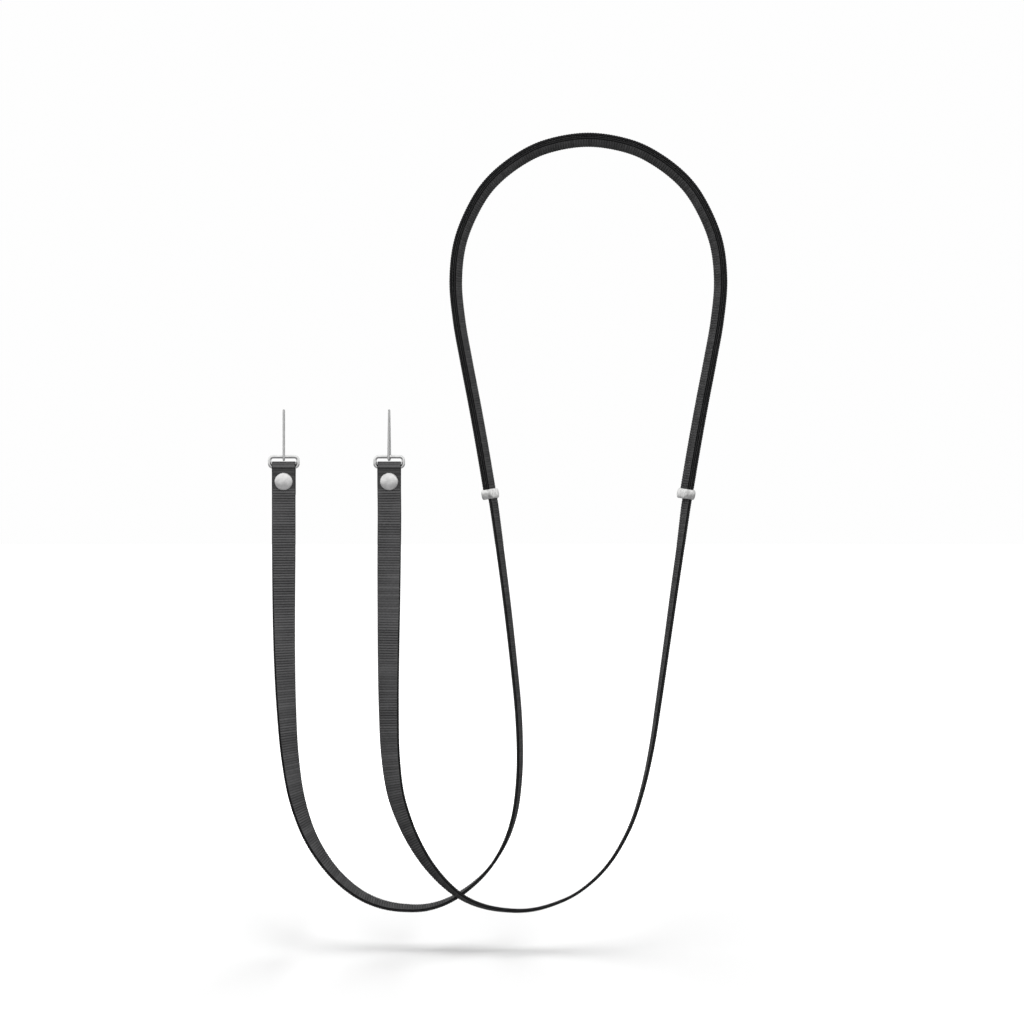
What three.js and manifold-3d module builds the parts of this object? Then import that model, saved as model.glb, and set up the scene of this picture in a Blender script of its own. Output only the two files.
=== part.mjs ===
// Crossbody strap: two webbing straps, each folded and riveted round a ring at one end.
// They rise from a crossing at the bottom, lie one inside the other as a neck loop, and end in a slider.
// Millimetres, +Z up, +X to the right seen from the front, +Y away from the front.
// The origin is the crest of the neck loop, on the inner face, where the strap hangs on its wearer.

import * as THREE from 'three';
import { mergeVertices } from 'three/addons/utils/BufferGeometryUtils.js';
import Module from 'manifold-3d';

const wasm = await Module();
wasm.setup();

// Webbing
const WEBBING_WIDTH = 13.3;
const WEBBING_THICKNESS = 1.85;
const CLEARANCE = 0.3;

// Neck loop, measured on the line midway between its two layers
const NECK_HALF_WIDTH = 74.4;
const NECK_DROP = 199.0;
const NECK_LEAN = 15.5;

// Hanging legs: ring bars and the lowest point of both straps, below the crest
const RING_SPACING = 59.2;
const RING_REACH = 111.8;
const RING_DROP = 181.95;
const HEM_DROP = 430.56;

// Ring, of bent round wire
const RING_WIRE = 2.0;
const RING_HEIGHT = 7.8;
const RING_CORNER = 1.9;

// Rivet through the fold
const RIVET_DIAMETER = 10.0;
const RIVET_DOME = 1.9;
const RIVET_RIM = 0.7;
const RIVET_POST = 3.0;
const RIVET_BACK_DIAMETER = 8.4;
const RIVET_BACK = 1.0;
const RIVET_EDGE = 0.4;
const RIVET_DROP = 8.2;
const TAIL_PAST_RIVET = 7.4;
const FOLD_GRIP = 24;

// Slider, a flattened sleeve with a bulging wall
const SLIDER_LENGTH = 5.6;
const SLIDER_WALL = 0.65;
const SLIDER_BULGE = 0.4;
const SLIDER_CORNER = 0.6;
const SLIDER_END_INSET = 0.6;

// Cord loop on the ring's upper bar
const CORD_DIAMETER = 1.2;
const CORD_LOOP_RISE = 26.0;
const CORD_TURN_RIGHT = 14.0;

// Steps of the meshes
const WEBBING_STEP = 6.4;
const WIRE_SIDES = 10;
const CORNER_STEPS = 4;
const RIVET_SIDES = 28;
const DOME_STEPS = 4;
const CORD_SIDES = 8;
const CORD_STEPS = 44;
const FOLD_STEPS = 12;

// Half of the neck loop from the crest down: shares of NECK_DROP and of NECK_HALF_WIDTH
const NECK_ROWS = [
  { drop: 0.0, half: 0.0 },
  { drop: 0.0205, half: 0.326 },
  { drop: 0.0575, half: 0.527 },
  { drop: 0.1135, half: 0.714 },
  { drop: 0.171, half: 0.831 },
  { drop: 0.283, half: 0.962 },
  { drop: 0.396, half: 1.0 },
  { drop: 0.509, half: 0.975 },
  { drop: 0.622, half: 0.922 },
  { drop: 0.735, half: 0.864 },
  { drop: 0.85, half: 0.808 },
  { drop: 1.0, half: 0.74 },
];

// Half of a fold from the rivet up to the ring's bar. spread is a share of the way from the pinched
// layers out to the curve round the bar, and down is a share of RIVET_DROP.
const FOLD_ROWS = [
  { spread: 0.0, down: 1.0 },
  { spread: 0.0, down: 0.555 },
  { spread: 0.35, down: 0.35 },
];

// A slider's wall from its mouth to its middle: shares of the wall, the bulge and the half length
const SLIDER_ROWS = [
  { wall: 0.7, bulge: 0.0, along: 1.0 },
  { wall: 1.0, bulge: 0.45, along: 0.82 },
  { wall: 1.0, bulge: 0.87, along: 0.42 },
  { wall: 1.0, bulge: 1.0, along: 0.0 },
];

// A strap's fall from its ring to the hem. across is a share of the way from ring to slider,
// down of the drop from ring to hem, behind of the webbing's width, and turn is the twist in degrees.
const FALL_LEFT = [
  { across: 0.0, down: 0.1, behind: -0.06, turn: 4 },
  { across: 0.0, down: 0.2, behind: -0.04, turn: 14 },
  { across: 0.0, down: 0.315, behind: 0.0, turn: 24 },
  { across: 0.003, down: 0.43, behind: 0.03, turn: 33 },
  { across: 0.0115, down: 0.542, behind: 0.08, turn: 41.5 },
  { across: 0.029, down: 0.655, behind: 0.15, turn: 49 },
  { across: 0.063, down: 0.752, behind: 0.23, turn: 55.5 },
  { across: 0.125, down: 0.836, behind: 0.33, turn: 63 },
  { across: 0.2135, down: 0.903, behind: 0.42, turn: 69.5 },
  { across: 0.3014, down: 0.946, behind: 0.48, turn: 73.5 },
  { across: 0.3934, down: 0.9755, behind: 0.53, turn: 76.5 },
  { across: 0.497, down: 0.9935, behind: 0.56, turn: 79 },
  { across: 0.6195, down: 1.0, behind: 0.58, turn: 81.8 },
];
const FALL_RIGHT = [
  { across: 0.001, down: 0.1, behind: -0.07, turn: 3 },
  { across: 0.0, down: 0.2, behind: -0.08, turn: 9 },
  { across: -0.001, down: 0.312, behind: -0.1, turn: 19 },
  { across: -0.002, down: 0.425, behind: -0.13, turn: 27.5 },
  { across: -0.001, down: 0.54, behind: -0.18, turn: 34.5 },
  { across: 0.005, down: 0.652, behind: -0.25, turn: 40.5 },
  { across: 0.0235, down: 0.74, behind: -0.32, turn: 47 },
  { across: 0.0593, down: 0.81, behind: -0.4, turn: 54.5 },
  { across: 0.0919, down: 0.854, behind: -0.45, turn: 60 },
  { across: 0.1356, down: 0.899, behind: -0.51, turn: 66 },
  { across: 0.196, down: 0.9435, behind: -0.56, turn: 72 },
  { across: 0.256, down: 0.973, behind: -0.58, turn: 76.3 },
  { across: 0.33, down: 0.992, behind: -0.58, turn: 79.2 },
  { across: 0.428, down: 1.0, behind: -0.56, turn: 81.4 },
];

// Its rise from the hem to the slider. down is a share of the drop from slider to hem.
const RISE_LEFT = [
  { across: 0.7, down: 0.997, behind: 0.58, turn: 83.6 },
  { across: 0.79, down: 0.983, behind: 0.58, turn: 85.8 },
  { across: 0.8775, down: 0.9575, behind: 0.57, turn: 88.2 },
  { across: 0.9743, down: 0.9155, behind: 0.53, turn: 91.3 },
  { across: 1.0385, down: 0.872, behind: 0.48, turn: 93.8 },
  { across: 1.087, down: 0.8235, behind: 0.43, turn: 96.4 },
  { across: 1.12, down: 0.768, behind: 0.37, turn: 98.4 },
  { across: 1.1385, down: 0.698, behind: 0.31, turn: 99.3 },
  { across: 1.144, down: 0.63, behind: 0.25, turn: 99.8 },
  { across: 1.137, down: 0.53, behind: 0.18, turn: 100.4 },
  { across: 1.115, down: 0.413, behind: 0.11, turn: 101.1 },
  { across: 1.0825, down: 0.268, behind: 0.05, turn: 102.3 },
  { across: 1.0448, down: 0.123, behind: 0.01, turn: 103.7 },
];
const RISE_RIGHT = [
  { across: 0.4915, down: 0.9965, behind: -0.53, turn: 82.4 },
  { across: 0.5588, down: 0.983, behind: -0.49, turn: 83.5 },
  { across: 0.6261, down: 0.961, behind: -0.45, turn: 84.9 },
  { across: 0.6934, down: 0.924, behind: -0.4, turn: 86.4 },
  { across: 0.743, down: 0.8845, behind: -0.36, turn: 87.6 },
  { across: 0.784, down: 0.838, behind: -0.32, turn: 88.9 },
  { across: 0.8215, down: 0.781, behind: -0.27, turn: 90.6 },
  { across: 0.857, down: 0.6975, behind: -0.22, turn: 92.8 },
  { across: 0.8845, down: 0.605, behind: -0.16, turn: 94.8 },
  { across: 0.906, down: 0.505, behind: -0.11, turn: 96.3 },
  { across: 0.9345, down: 0.362, behind: -0.06, turn: 98.1 },
  { across: 0.9627, down: 0.218, behind: -0.02, turn: 100.4 },
  { across: 0.982, down: 0.122, behind: 0.0, turn: 102 },
];

const X_AXIS = new THREE.Vector3(1, 0, 0);
const Y_AXIS = new THREE.Vector3(0, 1, 0);

const layerPitch = WEBBING_THICKNESS + CLEARANCE;
const lean = THREE.MathUtils.degToRad(NECK_LEAN);

// The inner face of the inner layer passes through the origin at the crest.
const crest = new THREE.Vector3(0, Math.sin(lean), Math.cos(lean))
  .multiplyScalar(layerPitch / 2 + WEBBING_THICKNESS / 2);

function material(color, roughness, metalness) {
  return new THREE.MeshStandardMaterial({ color, roughness, metalness });
}

const WEBBING_BLACK = material(0x2b2a2d, 0.85, 0);
const POLISHED_STEEL = material(0xd4d4d4, 0.18, 1);
const SATIN_STEEL = material(0xcfcdca, 0.32, 1);
const GREY_CORD = material(0x777776, 0.8, 0);

// A closed solid from rings of corners, each ring one section; open routes get flat ends.
function solidFromSections(sections, closed) {
  const sides = sections[0].length;
  const positions = sections.flat().flatMap((corner) => [corner.x, corner.y, corner.z]);
  const index = [];
  const spans = closed ? sections.length : sections.length - 1;
  for (let row = 0; row < spans; row += 1) {
    const here = row * sides;
    const next = ((row + 1) % sections.length) * sides;
    for (let side = 0; side < sides; side += 1) {
      const beside = (side + 1) % sides;
      index.push(here + side, here + beside, next + beside);
      index.push(here + side, next + beside, next + side);
    }
  }
  if (!closed) {
    const last = (sections.length - 1) * sides;
    for (let side = 1; side < sides - 1; side += 1) {
      index.push(0, side + 1, side);
      index.push(last, last + side, last + side + 1);
    }
  }
  const geometry = new THREE.BufferGeometry();
  geometry.setAttribute('position', new THREE.Float32BufferAttribute(positions, 3));
  geometry.setIndex(index);
  return geometry;
}

function toManifold(geometry) {
  const bare = geometry.clone();
  bare.deleteAttribute('normal');
  bare.deleteAttribute('uv');
  const merged = mergeVertices(bare, 1e-4);
  return new wasm.Manifold(new wasm.Mesh({
    numProp: 3,
    vertProperties: merged.attributes.position.array,
    triVerts: new Uint32Array(merged.index.array),
  }));
}

function toGeometry(solid) {
  const mesh = solid.getMesh();
  const geometry = new THREE.BufferGeometry();
  geometry.setAttribute('position', new THREE.BufferAttribute(mesh.vertProperties, 3));
  geometry.setIndex(new THREE.BufferAttribute(mesh.triVerts, 1));
  return geometry;
}

// Stations of a band along a curve: the point, the way along, across the width and through the wall.
function station(point, along, width) {
  const wide = width.clone().addScaledVector(along, -width.dot(along)).normalize();
  const through = new THREE.Vector3().crossVectors(wide, along).normalize();
  return { point, along, wide, through };
}

// The width of a band turned by an angle out of the front plane, from the left of its travel.
function turnedWidth(along, degrees) {
  const leftOfTravel = new THREE.Vector3(-along.z, 0, along.x).normalize();
  const angle = THREE.MathUtils.degToRad(degrees);
  return leftOfTravel.multiplyScalar(Math.cos(angle)).addScaledVector(Y_AXIS, Math.sin(angle));
}

// A smooth curve through rows that also blends one number from row to row.
function blendCurve(points, values) {
  const route = new THREE.CatmullRomCurve3(points, false, 'centripetal');
  const turns = new THREE.CatmullRomCurve3(
    values.map((value) => new THREE.Vector3(value, 0, 0)), false, 'catmullrom', 0.5);
  return { route, turns, spans: points.length - 1 };
}

// Even steps within each span between two rows of a curve.
function stepsAlong(curve, firstSpan, lastSpan) {
  const steps = [];
  for (let span = firstSpan; span < lastSpan; span += 1) {
    const from = curve.route.getPoint(span / curve.spans);
    const to = curve.route.getPoint((span + 1) / curve.spans);
    const count = Math.max(1, Math.round(from.distanceTo(to) / WEBBING_STEP));
    for (let step = 0; step < count; step += 1) {
      steps.push((span + step / count) / curve.spans);
    }
  }
  return steps;
}

function webbingSection({ point, wide, through }) {
  const half = WEBBING_WIDTH / 2;
  const wall = WEBBING_THICKNESS / 2;
  const corners = [[-half, -wall], [-half, wall], [half, wall], [half, -wall]];
  return corners.map(([across, deep]) => point.clone()
    .addScaledVector(wide, across)
    .addScaledVector(through, deep));
}

// The line midway between the layers, from below the left slider to below the right one.
function neckPoints() {
  const place = (row, side) => new THREE.Vector3(
    side * row.half * NECK_HALF_WIDTH, 0, -row.drop * NECK_DROP).add(crest);
  const left = NECK_ROWS.slice(1).reverse().map((row) => place(row, -1));
  const right = NECK_ROWS.map((row) => place(row, 1));
  const points = [...left, ...right];
  const past = (end, inner) => end.clone().add(
    end.clone().sub(inner).setLength(SLIDER_LENGTH));
  const start = past(points[0], points[1]);
  const finish = past(points[points.length - 1], points[points.length - 2]);
  return [start, ...points, finish];
}

// Frames of the neck loop, seen by a strap that climbs its left side.
function neckStations() {
  const points = neckPoints();
  const curve = blendCurve(points, points.map(() => 90 + NECK_LEAN));
  return [...stepsAlong(curve, 0, curve.spans), 1].map((t) => {
    const along = curve.route.getTangent(t);
    return station(curve.route.getPoint(t), along, turnedWidth(along, 90 + NECK_LEAN));
  });
}

const NECK = neckStations();

// Slider frames lie one slider's length inside the two ends of the neck line.
function sliderFrame(side) {
  const points = neckPoints();
  const end = side < 0 ? points[1] : points[points.length - 2];
  const nearest = (a, b) => (a.point.distanceTo(end) < b.point.distanceTo(end) ? a : b);
  return NECK.reduce(nearest);
}

// One layer of the neck loop: outward is +1 for the outer layer and -1 for the inner one.
// The layer's free end stops inside the far slider.
function neckLayer(outward, reversed) {
  const layer = NECK.map(({ point, along, wide, through }) => ({
    point: point.clone().addScaledVector(through, -outward * layerPitch / 2),
    along,
    wide,
    through,
  }));
  if (!reversed) {
    return trimEnd(layer);
  }
  const turned = layer.reverse().map(({ point, along, wide, through }) => ({
    point,
    along: along.clone().negate(),
    wide: wide.clone().negate(),
    through,
  }));
  return trimEnd(turned);
}

function trimEnd(stations) {
  const last = stations[stations.length - 1];
  const before = stations[stations.length - 2];
  const shorter = SLIDER_LENGTH / 2 + SLIDER_END_INSET;
  const along = last.point.clone().sub(before.point).normalize();
  const end = { ...last, point: last.point.clone().addScaledVector(along, -shorter) };
  return [...stations.slice(0, -1), end];
}

const barRadius = RING_WIRE / 2;
const foldRadius = barRadius + CLEARANCE + WEBBING_THICKNESS / 2;

// The fold round the ring's lower bar: up the back from the free tail, over the bar, down the front.
function foldPoints(bar) {
  const at = (y, z) => new THREE.Vector3(bar.x, bar.y + y, bar.z + z);
  const seat = layerPitch / 2;
  const rowPoint = (row, side) => at(
    side * (seat + row.spread * (foldRadius - seat)), -row.down * RIVET_DROP);
  const tail = at(seat, -RIVET_DROP - TAIL_PAST_RIVET);
  const back = FOLD_ROWS.map((row) => rowPoint(row, 1));
  const front = FOLD_ROWS.map((row) => rowPoint(row, -1)).reverse();
  const over = [];
  for (let step = 0; step <= FOLD_STEPS; step += 1) {
    const degrees = -FOLD_GRIP + ((180 + 2 * FOLD_GRIP) * step) / FOLD_STEPS;
    const angle = THREE.MathUtils.degToRad(degrees);
    over.push(at(foldRadius * Math.cos(angle), foldRadius * Math.sin(angle)));
  }
  return [tail, ...back, ...over, ...front];
}

// Each strap: its ring, its place in the neck loop, its rows and the way that it twists.
const STRAPS = [
  { name: 'left', barX: -(RING_REACH + RING_SPACING), side: -1, outward: -1, twist: 1,
    fall: FALL_LEFT, rise: RISE_LEFT, cordTurn: 0 },
  { name: 'right', barX: -RING_REACH, side: 1, outward: 1, twist: -1,
    fall: FALL_RIGHT, rise: RISE_RIGHT, cordTurn: CORD_TURN_RIGHT },
];

function barCentre(strap) {
  return new THREE.Vector3(strap.barX, 0, -RING_DROP);
}

function legPoint(row, bar, sliderPoint, top) {
  return new THREE.Vector3(
    bar.x + row.across * (sliderPoint.x - bar.x),
    row.behind * WEBBING_WIDTH,
    top - row.down * (HEM_DROP + top));
}

function strapStations(strap) {
  const bar = barCentre(strap);
  const slider = sliderFrame(strap.side).point;
  const fold = foldPoints(bar);
  const fall = strap.fall.map((row) => legPoint(row, bar, slider, bar.z));
  const rise = strap.rise.map((row) => legPoint(row, bar, slider, slider.z));
  const neck = neckLayer(strap.outward, strap.side > 0);
  const points = [...fold, ...fall, ...rise, neck[0].point, neck[2].point];
  const turns = [
    ...fold.map(() => 0),
    ...strap.fall.map((row) => row.turn),
    ...strap.rise.map((row) => row.turn),
    90 + NECK_LEAN,
    90 + NECK_LEAN,
  ];
  const curve = blendCurve(points, turns);
  const foldEnd = fold.length - 1;
  const leg = stepsAlong(curve, 0, curve.spans - 1).map((t) => {
    const along = curve.route.getTangent(t);
    const inFold = t * curve.spans <= foldEnd;
    const turn = strap.twist * curve.turns.getPoint(t).x;
    return station(curve.route.getPoint(t), along, inFold ? X_AXIS : turnedWidth(along, turn));
  });
  return [...leg, ...neck];
}

function cylinderAlongY(radius, length, centre, sides) {
  const geometry = new THREE.CylinderGeometry(radius, radius, length, sides);
  geometry.translate(centre.x, centre.y, centre.z);
  return geometry;
}

function strapGeometry(strap) {
  const band = solidFromSections(strapStations(strap).map(webbingSection), false);
  const hole = cylinderAlongY(
    RIVET_POST / 2 + CLEARANCE, 2 * foldRadius + WEBBING_THICKNESS, rivetCentre(strap), RIVET_SIDES);
  return toGeometry(toManifold(band).subtract(toManifold(hole)));
}

function rivetCentre(strap) {
  const bar = barCentre(strap);
  return new THREE.Vector3(bar.x, bar.y, bar.z - RIVET_DROP);
}

// A rivet turned on its own axis: domed head in front, post, flat cap behind.
function rivetGeometry(strap) {
  const half = layerPitch / 2 + WEBBING_THICKNESS / 2 + CLEARANCE;
  const head = RIVET_DIAMETER / 2;
  const profile = [new THREE.Vector2(0, -half - RIVET_RIM - RIVET_DOME)];
  for (let step = 1; step <= DOME_STEPS; step += 1) {
    const angle = (Math.PI / 2) * (step / DOME_STEPS);
    profile.push(new THREE.Vector2(
      head * Math.sin(angle), -half - RIVET_RIM - RIVET_DOME * Math.cos(angle)));
  }
  profile.push(new THREE.Vector2(head - RIVET_EDGE / 2, -half));
  profile.push(new THREE.Vector2(RIVET_POST / 2, -half));
  profile.push(new THREE.Vector2(RIVET_POST / 2, half));
  profile.push(new THREE.Vector2(RIVET_BACK_DIAMETER / 2, half));
  profile.push(new THREE.Vector2(RIVET_BACK_DIAMETER / 2, half + RIVET_BACK - RIVET_EDGE));
  profile.push(new THREE.Vector2(RIVET_BACK_DIAMETER / 2 - RIVET_EDGE, half + RIVET_BACK));
  profile.push(new THREE.Vector2(0, half + RIVET_BACK));
  const geometry = new THREE.LatheGeometry(profile, RIVET_SIDES);
  const centre = rivetCentre(strap);
  geometry.translate(centre.x, centre.y, centre.z);
  return geometry;
}

// Points round a rounded rectangle, in order, with the outward way at each.
function roundedLoop(halfWide, halfHigh, corner, stepsPerCorner) {
  const loop = [];
  const centres = [[1, 1], [-1, 1], [-1, -1], [1, -1]];
  centres.forEach(([sideX, sideZ], quarter) => {
    for (let step = 0; step <= stepsPerCorner; step += 1) {
      const angle = (Math.PI / 2) * (quarter + step / stepsPerCorner);
      const out = new THREE.Vector2(Math.cos(angle), Math.sin(angle));
      loop.push({
        x: sideX * (halfWide - corner) + corner * out.x,
        z: sideZ * (halfHigh - corner) + corner * out.y,
        out,
      });
    }
  });
  return loop;
}

const ringHalfWidth = WEBBING_WIDTH / 2 + CLEARANCE + barRadius;
const ringHalfHeight = (RING_HEIGHT - RING_WIRE) / 2;

function ringGeometry(strap) {
  const bar = barCentre(strap);
  const centre = new THREE.Vector3(bar.x, bar.y, bar.z + ringHalfHeight);
  const loop = roundedLoop(ringHalfWidth, ringHalfHeight, RING_CORNER, CORNER_STEPS);
  const sections = loop.map(({ x, z, out }) => {
    const section = [];
    for (let side = 0; side < WIRE_SIDES; side += 1) {
      const angle = (2 * Math.PI * (side + 0.5)) / WIRE_SIDES;
      const outward = barRadius * Math.cos(angle);
      const deep = barRadius * Math.sin(angle);
      section.push(new THREE.Vector3(
        centre.x + x + out.x * outward, centre.y + deep, centre.z + z + out.y * outward));
    }
    return section;
  });
  return solidFromSections(sections, true);
}

// The slider's wall, swept round the stack of two layers; its outside bulges halfway along.
function sliderGeometry(strap) {
  const frame = sliderFrame(strap.side);
  const halfStack = (layerPitch + WEBBING_THICKNESS) / 2 + CLEARANCE;
  const halfWide = WEBBING_WIDTH / 2 + CLEARANCE;
  const halfLong = SLIDER_LENGTH / 2;
  const outside = SLIDER_ROWS.map((row) => ({
    out: row.wall * SLIDER_WALL + row.bulge * SLIDER_BULGE,
    along: row.along * halfLong,
  }));
  const underside = outside.slice(0, -1).reverse().map((row) => ({ out: row.out, along: -row.along }));
  const wall = [{ out: 0, along: -halfLong }, { out: 0, along: halfLong }, ...outside, ...underside];
  const loop = roundedLoop(halfWide, halfStack, SLIDER_CORNER, CORNER_STEPS);
  const sections = loop.map(({ x, z, out }) => wall.map((row) => frame.point.clone()
    .addScaledVector(frame.wide, x + out.x * row.out)
    .addScaledVector(frame.through, z + out.y * row.out)
    .addScaledVector(frame.along, -row.along)));
  return solidFromSections(sections, true);
}

// A cord taken round the ring's upper bar: up behind it, over, and down in front.
class CordLoop extends THREE.Curve {
  constructor(bar, turn) {
    super();
    this.bar = bar;
    this.turn = THREE.MathUtils.degToRad(turn);
    this.radius = barRadius + CLEARANCE + CORD_DIAMETER / 2;
    this.straight = CORD_LOOP_RISE - this.radius;
    this.opening = CLEARANCE / this.radius;
  }

  getPoint(t) {
    const bend = Math.PI * this.radius;
    const lower = bend / 2 - CLEARANCE / 2;
    const whole = 2 * lower + 2 * this.straight + bend;
    let run = t * whole;
    const place = (back, up) => {
      const turned = this.turn * (1 - Math.max(0, up) / (CORD_LOOP_RISE));
      return new THREE.Vector3(
        this.bar.x + back * Math.sin(turned), this.bar.y + back * Math.cos(turned), this.bar.z + up);
    };
    const onArc = (angle, height) => place(
      this.radius * Math.cos(angle), height + this.radius * Math.sin(angle));
    if (run < lower) {
      return onArc(-Math.PI / 2 + this.opening / 2 + run / this.radius, 0);
    }
    run -= lower;
    if (run < this.straight) {
      return place(this.radius, run);
    }
    run -= this.straight;
    if (run < bend) {
      return onArc(run / this.radius, this.straight);
    }
    run -= bend;
    if (run < this.straight) {
      return place(-this.radius, this.straight - run);
    }
    run -= this.straight;
    return onArc(Math.PI + run / this.radius, 0);
  }
}

function cordGeometry(strap) {
  const bar = barCentre(strap);
  const upperBar = new THREE.Vector3(bar.x, bar.y, bar.z + 2 * ringHalfHeight);
  const section = new THREE.Shape();
  const radius = CORD_DIAMETER / 2;
  for (let side = 0; side < CORD_SIDES; side += 1) {
    const angle = (2 * Math.PI * side) / CORD_SIDES;
    const x = radius * Math.cos(angle);
    const y = radius * Math.sin(angle);
    if (side === 0) {
      section.moveTo(x, y);
    } else {
      section.lineTo(x, y);
    }
  }
  section.closePath();
  return new THREE.ExtrudeGeometry(section, {
    steps: CORD_STEPS,
    extrudePath: new CordLoop(upperBar, strap.cordTurn),
  });
}

const group = new THREE.Group();

function add(name, geometry, finish) {
  const mesh = new THREE.Mesh(geometry, finish);
  mesh.name = name;
  group.add(mesh);
}

for (const strap of STRAPS) {
  add(`strap_${strap.name}`, strapGeometry(strap), WEBBING_BLACK);
  add(`slider_${strap.name}`, sliderGeometry(strap), SATIN_STEEL);
  add(`ring_${strap.name}`, ringGeometry(strap), POLISHED_STEEL);
  add(`rivet_${strap.name}`, rivetGeometry(strap), SATIN_STEEL);
  add(`cord_loop_${strap.name}`, cordGeometry(strap), GREY_CORD);
}

export default group;
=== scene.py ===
# %% [markdown]
# # A crossbody strap with a ring at each end
# The object is two long bands of black ribbed webbing. Each band is folded round a steel ring and held
# by a rivet, runs down, crosses the other at the bottom, and rises through a steel slider into a neck
# loop where both bands lie one inside the other. A thin braided cord loop sits on each ring.
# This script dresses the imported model: the model gives every place and size, and Blender gives each
# piece its fine shape and its finish. All lengths are metres.

# %% Tools
import math

import bpy
import numpy as np
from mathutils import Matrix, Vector


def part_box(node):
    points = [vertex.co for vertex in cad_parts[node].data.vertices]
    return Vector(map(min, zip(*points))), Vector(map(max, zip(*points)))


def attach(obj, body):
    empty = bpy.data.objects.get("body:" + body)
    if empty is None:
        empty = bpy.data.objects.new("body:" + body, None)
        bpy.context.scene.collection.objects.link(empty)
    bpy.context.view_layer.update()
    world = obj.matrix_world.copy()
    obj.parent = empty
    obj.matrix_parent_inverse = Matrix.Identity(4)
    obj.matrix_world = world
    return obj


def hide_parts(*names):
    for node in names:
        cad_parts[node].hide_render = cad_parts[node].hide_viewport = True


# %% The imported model
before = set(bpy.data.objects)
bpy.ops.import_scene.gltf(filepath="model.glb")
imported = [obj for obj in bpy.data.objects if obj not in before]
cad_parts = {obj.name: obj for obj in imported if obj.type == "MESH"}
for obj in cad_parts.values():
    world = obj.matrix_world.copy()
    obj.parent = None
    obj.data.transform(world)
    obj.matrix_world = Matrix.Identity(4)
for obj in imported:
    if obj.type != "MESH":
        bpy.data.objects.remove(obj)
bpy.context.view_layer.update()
for node_name in sorted(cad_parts):
    low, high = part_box(node_name)
    print(node_name, "spans", [round(side * 1000, 1) for side in high - low], "mm")

# %% [markdown]
# ## Camera
# The strap is shown flat on, from far away with a long lens, so its legs show almost no perspective.
# A long lens at a stated distance needs only two facts: how many pixels cover a metre at the strap,
# and where its origin, the crest of the neck loop, falls in the picture.

# %% Camera
PHOTO_SIDE_PIXELS = 1024
PIXELS_PER_METRE = 1780.0
CREST_PIXEL_X = 588.2
CREST_PIXEL_Y = 143.15
CAMERA_DISTANCE = 2.4
SENSOR = 36.0


def point_camera():
    camera = bpy.data.objects.new("camera", bpy.data.cameras.new("camera"))
    bpy.context.scene.collection.objects.link(camera)
    centre = PHOTO_SIDE_PIXELS / 2
    x = (centre - CREST_PIXEL_X) / PIXELS_PER_METRE
    z = (CREST_PIXEL_Y - centre) / PIXELS_PER_METRE
    camera.location = (x, -CAMERA_DISTANCE, z)
    camera.rotation_euler = (math.radians(90), 0, 0)
    camera.data.sensor_width = SENSOR
    camera.data.lens = SENSOR * CAMERA_DISTANCE * PIXELS_PER_METRE / PHOTO_SIDE_PIXELS
    bpy.context.scene.camera = camera
    print("lens", round(camera.data.lens, 1), "mm at", CAMERA_DISTANCE, "m, centred on", x, z)


point_camera()

# %% [markdown]
# ## Nodes written as sums
# Patterns in a finish or in a shape are sums of waves and noise, and a sum reads best as a sum. One
# small class wraps an output socket, so that Python's own signs add the Math nodes. Every other node
# comes from one method, which takes its type, its settings and what its sockets hold.

# %% Sockets that can be added and multiplied
class Wire:
    """An output socket of a node tree."""

    def __init__(self, board, socket):
        self.board = board
        self.socket = socket

    def math(self, operation, *terms):
        return self.board.node("ShaderNodeMath", {"operation": operation}, dict(enumerate(terms)))[0]

    def __add__(self, other):
        return self.math("ADD", self, other)

    def __sub__(self, other):
        return self.math("SUBTRACT", self, other)

    def __rsub__(self, other):
        return self.math("SUBTRACT", other, self)

    def __mul__(self, other):
        return self.math("MULTIPLY", self, other)

    def __truediv__(self, other):
        return self.math("DIVIDE", self, other)

    def __rtruediv__(self, other):
        return self.math("DIVIDE", other, self)

    def __pow__(self, other):
        return self.math("POWER", self, other)

    def __mod__(self, other):
        return self.math("FLOORED_MODULO", self, other)

    def __abs__(self):
        return self.math("ABSOLUTE", self)

    __radd__ = __add__
    __rmul__ = __mul__

    def sign(self):
        return self.math("SIGN", self)

    def floor(self):
        return self.math("FLOOR", self)

    def smallest(self, other):
        return self.math("MINIMUM", self, other)

    def wave(self):
        """The height of a row of round arches, one for each whole number."""
        return abs(self.math("SINE", self * math.pi))

    def step(self, low, high):
        """0 below low, 1 above high, and smooth between them."""
        settings = {"interpolation_type": "SMOOTHSTEP"}
        sockets = {"Value": self, "From Min": low, "From Max": high}
        return self.board.node("ShaderNodeMapRange", settings, sockets)["Result"]


# %% One method for every node
def fill_ramp(ramp, stops):
    while len(ramp.elements) < len(stops):
        ramp.elements.new(1.0)
    for element, (place, colour) in zip(ramp.elements, stops):
        element.position = place
        element.color = (*colour, 1.0)


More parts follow.
